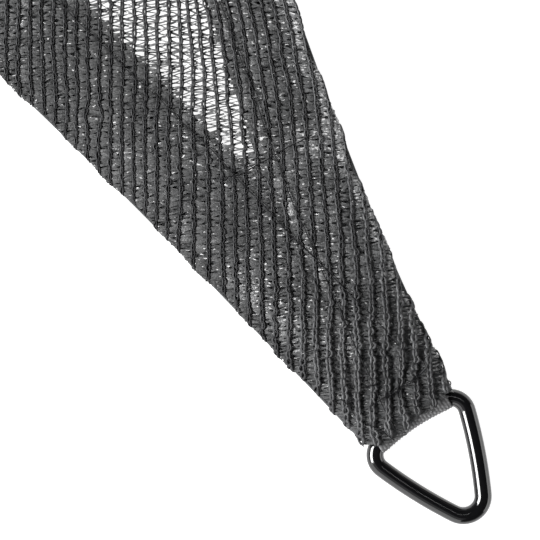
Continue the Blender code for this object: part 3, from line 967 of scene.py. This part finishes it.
def halfSide(name, side):
    # Half a side from a corner to its middle, as a function of x along the edge and a distance
    # across: flap from its free edge, round the fold, and over the top to the middle line
    zoneX = float(np.interp(knit["zoneFoot"][name], edgeS, edgeX))
    startX = float(np.interp(sail["flapStart"], edgeS, edgeX))
    tip = np.linspace(0.0, startX, 4)
    near = np.linspace(startX, zoneX, int((zoneX - startX) / sheet["zoneStep"]) + 2)
    far = np.linspace(zoneX, chord / 2, int((chord / 2 - zoneX) / sheet["columnStep"]) + 2)
    x = np.concatenate([tip[:-1], near, far[1:]])[:, None]
    covered = x < zoneX - 1 * mm        # the columns under real stitches
    t, s, angle = edgePlace(x)
    turn = angle * smooth(x, 0.0, sail["squareEnd"])
    hem = hemOf(name, side) * (1.0 - sheet["hemShort"] * covered)
    if name == "a":
        hem = np.where(covered, drawnHem(name, side, s + hem * np.sin(turn)) - sheet["edgeShort"], hem)
    depth = t / np.cos(turn)
    width = np.minimum(hem, 2 * depth - sail["flapClearance"])
    edgeZ, flapZ = crownHeight(s, s, True), flapHeight(s, side)
    radius = np.minimum((edgeZ - flapZ) / 2, clothEdge["radius"][1])

    flapInset = radius + (width - radius) * np.linspace(1.0, 0.0, sheet["flapRows"])
    foldTurn = np.linspace(-math.pi / 2, math.pi / 2, sheet["foldRows"] + 2)[1:-1]
    foldInset = radius * (1.0 - np.cos(foldTurn)) + sheet["foldBack"] * covered
    hemEnd = np.minimum(hem, depth * 0.98)
    hemInset = radius + (hemEnd - radius) * np.linspace(0.0, 1.0, sheet["hemRows"])
    openInset = hemEnd + (depth - hemEnd) * np.linspace(0.0, 1.0, sheet["topRows"] + 1)[1:]
    topInset = np.concatenate([hemInset, openInset], axis=1)
    inset = np.concatenate([flapInset, foldInset, topInset], axis=1)
    flat = np.concatenate([-flapInset, radius * foldTurn, topInset], axis=1)
    across, inwards = t - inset * np.cos(turn), s + inset * np.sin(turn)
    trim = clothEnd(side * across) + sail["endOverhang"] + sheet["endBack"]
    inwards = inwards + trim * (1.0 - smooth(x, 0.0, startX))

    foldEnd = sheet["flapRows"] + sheet["foldRows"]
    foldZ = (edgeZ + flapZ) / 2 + ((edgeZ - flapZ) / 2 - sheet["foldDrop"]) * np.sin(foldTurn)
    topZ = topHeight(name, side * across[:, foldEnd:], inwards[:, foldEnd:])[0]
    topZ = np.maximum(topZ - sheet["backing"] * covered, sheet["lowest"])
    z = np.concatenate([np.broadcast_to(flapZ, flapInset.shape), foldZ, topZ], axis=1)
    points = raised(cornerToPlan(name, side * across, inwards), z)
    spread = cornerToPlan(name, side * (t - flat * np.cos(turn)), s + flat * np.sin(turn))
    uv = np.stack(gridPlace(spread), axis=-1)

    index = np.arange(inset.size).reshape(inset.shape)
    quads = np.stack([index[:-1, :-1], index[1:, :-1], index[1:, 1:], index[:-1, 1:]], axis=-1)
    if side < 0:
        quads = quads[..., ::-1]
    keep = np.ones(quads.shape[:2], bool)
    inZone = len(tip) + len(near) - 2
    openStart = foldEnd + sheet["hemRows"] - 1
    keep[:inZone, openStart:] = (depth < hem)[:inZone]
    keep[inZone - 1, openStart:] = False
    keep[:len(tip) - 1, :foldEnd - 2] = False
    # The flaps are closed all along, so that no light shows through the hems' two layers
    isFlap = np.arange(inset.shape[1]) < sheet["flapRows"]
    backing = (covered | isFlap).astype(float).ravel()
    return onlyUsed([quads[keep]], points.reshape(-1, 3), uv.reshape(-1, 2), backing)


def buildSheet():
    # The six half sides welded into one, and thickened
    halves = [halfSide(name, side) for name in cornersOf for side in (1.0, -1.0)]
    points, faces = joined([(values[0], some) for some, values in halves])
    uv, backing = (np.concatenate([values[k] for _, values in halves]) for k in (1, 2))
    piece = makePiece("sail_sheet", points, faces, clothKnit, {"backing": backing}, uv)
    weld = piece.modifiers.new("seams", "WELD")
    weld.merge_threshold = sheet["weld"]
    thick = piece.modifiers.new("thickness", "SOLIDIFY")
    thick.thickness = sheet["thickness"]
    thick.offset = 0.0
    return piece


# Ribs over the open field as long low strips, clipped to the cloth's outline

fieldRibs = {
    "step": 24 * mm,
    "fineStep": 3 * mm,
    "numbers": (-260, 330),
    "reach": (-0.45, 2.1),          # along the ribs from ring a's bar
    "halfWidth": 0.62 * mm,
    "height": 0.42 * mm,
    "sunk": 0.05 * mm,
    "inset": 2.0 * mm,
    "shade": 0.35,
}


def sailTop(plan):
    # Height of the top, distance from the edge, and whether it is in a corner's zone, for plan points
    # anywhere on the sail. Each belongs to the corner whose third of the sail holds it.
    outward = np.stack([cornerAxes(name)[0] for name in cornersOf])
    which = np.argmax(plan @ outward.T, axis=-1)
    z, distance, inZone = (np.zeros(which.shape, kind) for kind in (float, float, bool))
    for number, name in enumerate(cornersOf):
        mine = which == number
        t, s = planToCorner(name, plan[mine])
        z[mine], footS, _ = topHeight(name, t, s)
        distance[mine] = np.where(s > -sail["endOverhang"], edgeDistance(t, s)[0], -1.0)
        inZone[mine] = footS < knit["zoneFoot"][name]
    return z, distance, inZone


def buildFieldRibs():
    # Each rib's stretches inside the outline are found on a fine line, then sampled every step
    ribs = np.arange(*fieldRibs["numbers"]).astype(float)
    start, end = fieldRibs["reach"]
    fine = np.arange(start, end, fieldRibs["fineStep"])
    _, distance, inZone = sailTop(gridToPlan(*np.meshgrid(ribs, fine, indexing="ij")))
    inside = (distance > fieldRibs["inset"]) & ~inZone
    change = np.diff(np.pad(inside, ((0, 0), (1, 1))).astype(int), axis=1)
    startRib, startAt = np.nonzero(change == 1)
    endAt = np.nonzero(change == -1)[1]
    samples = np.arange(start, end + fieldRibs["step"], fieldRibs["step"])
    y = np.clip(samples[None, :], fine[startAt][:, None], fine[endAt - 1][:, None])
    plan = gridToPlan(np.broadcast_to(ribs[startRib][:, None], y.shape), y)
    half = acrossDirection * fieldRibs["halfWidth"]
    base = sailTop(plan)[0] + sheet["thickness"] / 2 - fieldRibs["sunk"]
    points = np.stack([raised(plan - half, base), raised(plan + half, base),
                       raised(plan, base + fieldRibs["height"])], axis=2).reshape(-1, 3)
    index = np.arange(len(points)).reshape(*y.shape, 3)
    live = np.diff(y, axis=1) > 1e-6
    here, there = index[:, :-1], index[:, 1:]
    quads = np.stack([there, here, np.roll(here, -1, axis=2), np.roll(there, -1, axis=2)], axis=-1)
    quads = quads[live].reshape(-1, 4)
    first = live & ~np.pad(live, ((0, 0), (1, 0)))[:, :-1]
    last = live & ~np.pad(live, ((0, 0), (0, 1)))[:, 1:]
    caps = np.concatenate([here[first][:, ::-1], there[last]])
    faces, (points,) = onlyUsed([quads, caps], points)
    print("field ribs", len(quads), "faces")
    return makePiece("field_ribs", points, faces, ribYarn,
                     {"shade": np.full(len(points), fieldRibs["shade"])})


# Webbing: a woven band from under the cloth, round the ring's bar and back

webbing = {
    "upperLength": 112 * mm,
    "lowerLength": 106 * mm,
    "upperSlope": 12 * mm,
    "lowerSlope": 10 * mm,
    "fineLength": (30 * mm, 14 * mm),   # of the upper and the lower leg, finely divided
    "yarn": 1.15 * mm,              # width of one warp rib
    "row": 0.95 * mm,               # one weft row along the band
    "relief": 0.38 * mm,
    "tighter": 0.19 * mm,           # the band's middle is this much nearer than on a bare bar
    "flare": 0.055,                 # the band spreads a little round the ring's bends
    "flareReach": (-2 * mm, 14 * mm),
    "lean": 0.03,                   # and lies a little further out at the right
    # Painted shade on the webbing where the cloth's end lies over it
    "paintedShadeUnder": (0.6 * mm, 3.2 * mm),  # darker by the cloth's end
    "darkRight": (4 * mm, 12 * mm),
    # Points across a yarn, and step round the bar
    "fineness": {"a": (4, 0.3 * mm), "b": (2, 0.6 * mm), "c": (2, 0.6 * mm)},
}
tightRadius = ring["rod"] + sail["web"] / 2 - webbing["tighter"]


def webbingPath(step):
    # Places s and heights z from the upper leg's end round the bar to the lower leg's end
    upperFine, lowerFine = webbing["fineLength"]
    upper = np.concatenate([np.linspace(webbing["upperLength"], upperFine, 8),
                            np.linspace(upperFine, 0.0, 60)[1:-1]])
    crest = barZ + loopRadius
    upperZ = crest + (upperLegZ - crest) * smooth(upper, 0.0, webbing["upperSlope"])
    turn = np.linspace(0.0, math.pi, int(math.pi * loopRadius / step))
    lower = np.concatenate([np.linspace(0.0, lowerFine, 24)[1:],
                            np.linspace(lowerFine, webbing["lowerLength"], 10)[1:]])
    trough = barZ - loopRadius
    lowerZ = trough + (lowerLegZ - trough) * smooth(lower, 0.0, webbing["lowerSlope"])
    s = np.concatenate([upper, -tightRadius * np.sin(turn), lower])
    return s, np.concatenate([upperZ, barZ + loopRadius * np.cos(turn), lowerZ])


def buildWebbing(name):
    # Woven face: height = relief |cos| of the warp ribs, with the weft rows in step on every other rib
    yarnPoints, step = webbing["fineness"][name]
    s, z = webbingPath(step)
    spots = np.stack([s, z], axis=-1)
    halfWidth = sail["webWidth"] / 2
    t = np.linspace(-halfWidth, halfWidth, round(sail["webWidth"] / webbing["yarn"]) * yarnPoints + 1)
    past = np.clip(np.abs(t) - ring["halfBar"], 0.0, ring["cornerRadius"])
    bow = ring["cornerRadius"] - np.sqrt(ring["cornerRadius"]**2 - past**2)
    bow = bow - ring["barBow"] * np.maximum(1.0 - (t / ring["halfBar"]) ** 2, 0.0)
    bow = bow + webbing["lean"] * np.maximum(t, 0.0)
    follow = 1.0 - smooth(s, 0.0, webbing["lowerSlope"])
    tangent = unit(np.gradient(spots, axis=0))
    warp = np.abs(np.cos(math.pi * (t / webbing["yarn"])))[:, None]
    flip = np.where(np.floor(t / webbing["yarn"] + 0.5) % 2 == 0, 0.0, math.pi)[:, None]
    weft = 0.5 + 0.5 * np.sin(math.pi * lengthAlong(spots) / webbing["row"] + flip)
    crown = warp * (0.35 + 0.65 * weft)
    edge = np.sqrt(np.clip(1.0 - (np.abs(t) / halfWidth) ** 18, 0.0, 1.0))[:, None]
    core = (sail["web"] / 2 - webbing["relief"]) * edge
    wide = t[:, None] * (1.0 + webbing["flare"] * (1.0 - smooth(s, *webbing["flareReach"])))

    def face(offset):
        place = s - offset * tangent[:, 1] - bow[:, None] * follow
        return raised(cornerToPlan(name, wide, place), z + offset * tangent[:, 0])

    outer = face(-core - webbing["relief"] * crown * edge)
    grid = np.concatenate([outer, face(core)[::-1][1:-1]], axis=0)
    # Painted light on the crowns and painted shade between them and under the cloth's end; a quarter darker
    # towards the right
    tone = crown * (0.45 + 0.55 * smooth(-s, *webbing["paintedShadeUnder"]))
    tone = tone * (1.0 - 0.25 * smooth(t, *webbing["darkRight"]))[:, None]
    tone = np.concatenate([tone, tone[::-1][1:-1]], axis=0)
    index = np.arange(tone.size).reshape(tone.shape)
    nextRow = np.roll(index, -1, axis=0)
    quads = np.stack([index[:, :-1], nextRow[:, :-1], nextRow[:, 1:], index[:, 1:]], axis=-1)
    faces = [quads.reshape(-1, 4), index[::-1, 0][None, :], index[:, -1][None, :]]
    return makePiece(f"woven_webbing_{name}", grid, faces, webYarn, {"shade": tone})


# Ring: bent rod, smooth and round

def ringPath():
    # Straight bar, two corner arcs and a nose arc, as places (t, s) from the bar's middle. The long
    # sides and the bar bow a little, as bent rod does: the arcs turn less by `ease`.
    halfBar, cornerRadius, noseRadius = ring["halfBar"], ring["cornerRadius"], ring["noseRadius"]
    noseCentre = noseRadius - ring["height"]
    drop = -noseCentre - cornerRadius
    run = math.hypot(halfBar, drop)
    lean = math.atan2(halfBar, drop) - math.asin((noseRadius - cornerRadius) / run)
    ease = 4.0 * ring["bow"] / run
    corner = np.linspace(math.pi / 2 + 2.0 * ring["barBow"] / halfBar, -lean + ease, 26)
    arcs = [(halfBar, -cornerRadius, cornerRadius, corner),
            (0.0, noseCentre, noseRadius, np.linspace(-lean - ease, lean + ease - math.pi, 34)),
            (-halfBar, -cornerRadius, cornerRadius, math.pi - corner[::-1])]
    arcs = [np.stack([c + r * np.cos(a), d + r * np.sin(a)], axis=-1) for c, d, r, a in arcs]
    share = np.linspace(0.0, 1.0, 22)[1:-1, None]
    line = []
    for arc, after, bow in zip(arcs, arcs[1:] + arcs[:1], (ring["bow"], ring["bow"], ring["barBow"])):
        along = after[0] - arc[-1]
        aside = np.array([-along[1], along[0]]) / np.linalg.norm(along)
        line += [arc, arc[-1] + along * share + bow * 4.0 * share * (1.0 - share) * aside]
    return np.concatenate(line)


def buildRing(name):
    # The loop leans down from the bar to its nose, which rests on the surface
    loop = ringPath()
    loop = np.concatenate([loop, loop[:1]])
    spots = pointsAt(loop, np.linspace(0.0, lengthAlong(loop)[-1], ring["points"], endpoint=False))
    drop = math.asin((barZ - ring["noseZ"]) / ring["height"])
    s, z = spots[:, 1] * math.cos(drop), barZ + spots[:, 1] * math.sin(drop)
    outward, sideways = cornerAxes(name)
    bar = cornerToPlan(name, np.zeros(1), np.zeros(1))[0]
    turn = float(cornerBend(name, 0.0)[1])
    out = math.cos(turn) * outward + math.sin(turn) * sideways
    side = math.cos(turn) * sideways - math.sin(turn) * outward
    path = raised(bar + spots[:, :1] * side - s[:, None] * out, z)[None, ::-1]
    rod = ring["drawnRod"]
    points, faces = sweep(path, np.array([0.0, 0.0, 1.0]), rod, rod, ring["sides"], closed=True)
    return makePiece(f"bent_ring_{name}", points, faces, blackGloss)


# Sewing threads: the hems' seams all round, and near ring a the rows and loose ends as they lie

threads = {
    "radius": 0.20 * mm,
    "sides": 5,
    "stitch": 3.2 * mm,
    "dip": 0.28 * mm,
    "step": 0.5 * mm,
    "plainStep": 2 * mm,            # at corners b and c
    "farStep": 12 * mm,
    "over": (0.85 * mm, 0.7 * mm, 0.55 * mm),   # over the cloth: at a, at b and c, and far from them
    "overLoose": 1.45 * mm,
}
yarnLoop = {"centre": (12.9 * mm, 13.4 * mm), "radius": 1.05 * mm, "yarn": 0.22 * mm,
            "height": 7.0 * mm, "tilt": 0.5 * mm}


def threadTube(path, radius=threads["radius"]):
    # One tube along a path (K, 3)
    return sweep(path[None], np.array([0.0, 0.0, 1.0]), radius, radius, threads["sides"])


def liftStitches(length, base):
    # Height over the cloth: the thread dips at every stitch's end
    return base + threads["dip"] * np.abs(np.sin(math.pi * length / threads["stitch"])) ** 0.6


def seamPath(name, side):
    # The hem's seam from where it leaves the corner to the side's middle
    hem = float(hemOf(name, side))
    atA, plain, far = threads["over"]
    zoneX = float(np.interp(knit["zoneFoot"][name], edgeS, edgeX))
    startX = edgeX[np.argmax(2 * edgeT / np.cos(edgeAngle) > hem + 4 * mm)]
    near = np.arange(startX, zoneX, threads["step"] if name == "a" else threads["plainStep"])
    x = np.concatenate([near, np.linspace(zoneX, chord / 2, int((chord / 2 - zoneX) / threads["farStep"]))])
    t, s, angle = edgePlace(x)
    waver = 0.35 * mm * np.sin(x / 0.013 + side) + 0.2 * mm * np.sin(x / 0.0041)
    inset = hem * knit["seamShare"] + waver
    across, inwards = side * (t - inset * np.cos(angle)), s + inset * np.sin(angle)
    base = np.where(x < zoneX, atA if name == "a" else plain, far)
    z = topHeight(name, across, inwards)[0] + (liftStitches(x, base) if name == "a" else base)
    return raised(cornerToPlan(name, across, inwards), z)


def lyingPath(spots):
    # A thread through places near ring a, laid on the cloth there
    spots = np.array(spots) * mm
    at = np.arange(0.0, lengthAlong(spots)[-1], threads["step"])
    x, y = pointsAt(spots, at).T
    plan = fromBar(x + 0.18 * mm * np.sin(at / 0.0023), y)
    z = topHeight("a", *planToCorner("a", plan))[0] + liftStitches(at, threads["overLoose"])
    return raised(plan, z)


def buildThreads():
    # The seams, the rows and loose threads near ring a, and the small loop of yarn at its right
    parts = [threadTube(seamPath(name, side)) for name in cornersOf for side in (1.0, -1.0)]
    parts += [threadTube(lyingPath(spots)) for spots in threadsOfA]
    turn = np.linspace(-2.2, 2.2, 14)
    centre, radius = yarnLoop["centre"], yarnLoop["radius"]
    plan = fromBar(centre[0] + radius * np.cos(turn), centre[1] + radius * np.sin(turn))
    loop = raised(plan, yarnLoop["height"] + yarnLoop["tilt"] * np.sin(turn))
    points, faces = joined(parts + [threadTube(loop, yarnLoop["yarn"])])
    return makePiece("sewing_threads", points, faces, thread)


sailSheet = buildSheet()
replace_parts(sailSheet, "sail_cloth")
print("sheet made")
carried = [buildFieldRibs(), buildThreads(), buildRibs("a", loopOutline), buildTapes("a", (0, 1), 5),
           buildTapes("a", (2,), 5, "cross_tapes")]
for name in ("b", "c"):
    carried += [buildRibs(name, loopOutline[::2]), buildTapes(name, (0, 1, 2), 3)]
for name in cornersOf:
    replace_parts(buildWebbing(name), f"webbing_{name}")
    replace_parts(buildRing(name), f"ring_{name}")
print("webbing and rings made")


# Floor, light and camera

stage = {
    "floorHalf": 60.0,
    "floorGrey": 0.30,
    "floorGlow": 0.98,
    "room": ((0.0, 0.45), (0.36, 0.035)),   # the dim room's grey by height, paler at its foot
    "panelDistance": 9.0,
    "aimInwards": 0.2,              # the panels face this far inside ring a's bar
    # Panels: bearing and height in degrees, the bearing from across the ribs, then size and watts
    "panels": {
        "key": (186.0, 37.0, (6.8, 4.7), 2300.0),   # the large soft one at the left of the view
        "front": (238.0, 15.0, (11.0, 5.4), 300.0),     # low and wide, towards the view's foot
        "upper": (238.0, 43.0, (10.0, 6.4), 75.0),      # a very dim one above that
        "side": (350.0, 11.0, (10.0, 3.6), 230.0),      # low and dim at the right
        "strip": (58.0, 72.0, (5.0, 0.14), 20.0),       # narrow and high on the other side
    },
}


def buildFloor():
    # A pale plane, slightly lit from itself
    half, grey = stage["floorHalf"], stage["floorGrey"]
    mesh = bpy.data.meshes.new("floor")
    corners = [(-half, -half, 0), (half, -half, 0), (half, half, 0), (-half, half, 0)]
    mesh.from_pydata(corners, [], [(0, 1, 2, 3)])
    made = Surface("paleFloor", 0.0)
    made.sockets["Base Color"].default_value = (grey, grey, grey, 1)
    made.sockets["Roughness"].default_value = 0.9
    made.sockets["Emission Color"].default_value = (1, 1, 1, 1)
    made.sockets["Emission Strength"].default_value = stage["floorGlow"]
    mesh.materials.append(made.material)
    linked("floor", mesh)


def addPanel(name, bearing, elevation, size, watts):
    # A soft rectangular light facing the ring, seen from a bearing and a height
    turn, tilt = math.radians(bearing), math.radians(elevation)
    level = acrossDirection * math.cos(turn) + ribDirection * math.sin(turn)
    away = np.append(level * math.cos(tilt), math.sin(tilt))
    data = bpy.data.lights.new(name, "AREA")
    data.shape = "RECTANGLE"
    data.size, data.size_y = size
    data.energy = watts
    panel = linked(name, data)
    aim = np.array([barOfA[0], barOfA[1] + stage["aimInwards"], 0.0])
    panel.location = tuple(away * stage["panelDistance"] + aim)
    panel.rotation_euler = Vector((-away).tolist()).to_track_quat("-Z", "Y").to_euler()
    panel.visible_camera = False


def buildLight():
    # The panels, and a dim room
    for name, panel in stage["panels"].items():
        addPanel(name, *panel)
    world = bpy.data.worlds.new("room")
    world.use_nodes = True
    tree = world.node_tree
    tree.nodes.clear()
    place = addNode(tree, "ShaderNodeTexCoord", output=0)
    height = addNode(tree, "ShaderNodeSeparateXYZ", None, {"Vector": place}, output=2)
    stops = tuple((at, (grey,) * 3) for at, grey in stage["room"])
    tone = addNode(tree, "ShaderNodeValToRGB", {"stops": stops}, {"Fac": height})
    back = addNode(tree, "ShaderNodeBackground", None, {"Color": tone, "Strength": 1.0})
    output = tree.nodes.new("ShaderNodeOutputWorld")
    tree.links.new(back.value, output.inputs["Surface"])
    bpy.context.scene.world = world


photo = {
    "pixels": 540,
    "frameWidth": 195.0 * mm,
    "barPixel": (410.8, 419.8),     # the middle of the ring's bar in the photograph
    "distance": 0.9,
    "clip": (0.05, 200.0),
}


def buildCamera():
    # Straight above, turned so that the ribs run up the picture, with the bar at its pixel
    scale = photo["frameWidth"] / photo["pixels"]
    half = photo["pixels"] / 2
    centre = barOfA + acrossDirection * (half - photo["barPixel"][0]) * scale
    centre = centre + ribDirection * (photo["barPixel"][1] - half) * scale
    data = bpy.data.cameras.new("camera")
    data.sensor_width = 36.0
    data.lens = data.sensor_width * photo["distance"] / photo["frameWidth"]
    data.clip_start, data.clip_end = photo["clip"]
    camera = linked("camera", data)
    camera.location = (centre[0], centre[1], photo["distance"])
    camera.rotation_euler = (0, 0, ribAngle - math.pi / 2)
    bpy.context.scene.camera = camera


buildFloor()
buildLight()
buildCamera()
settings = bpy.context.scene.view_settings
settings.view_transform = "Standard"
settings.look = "None"
print("stage made")
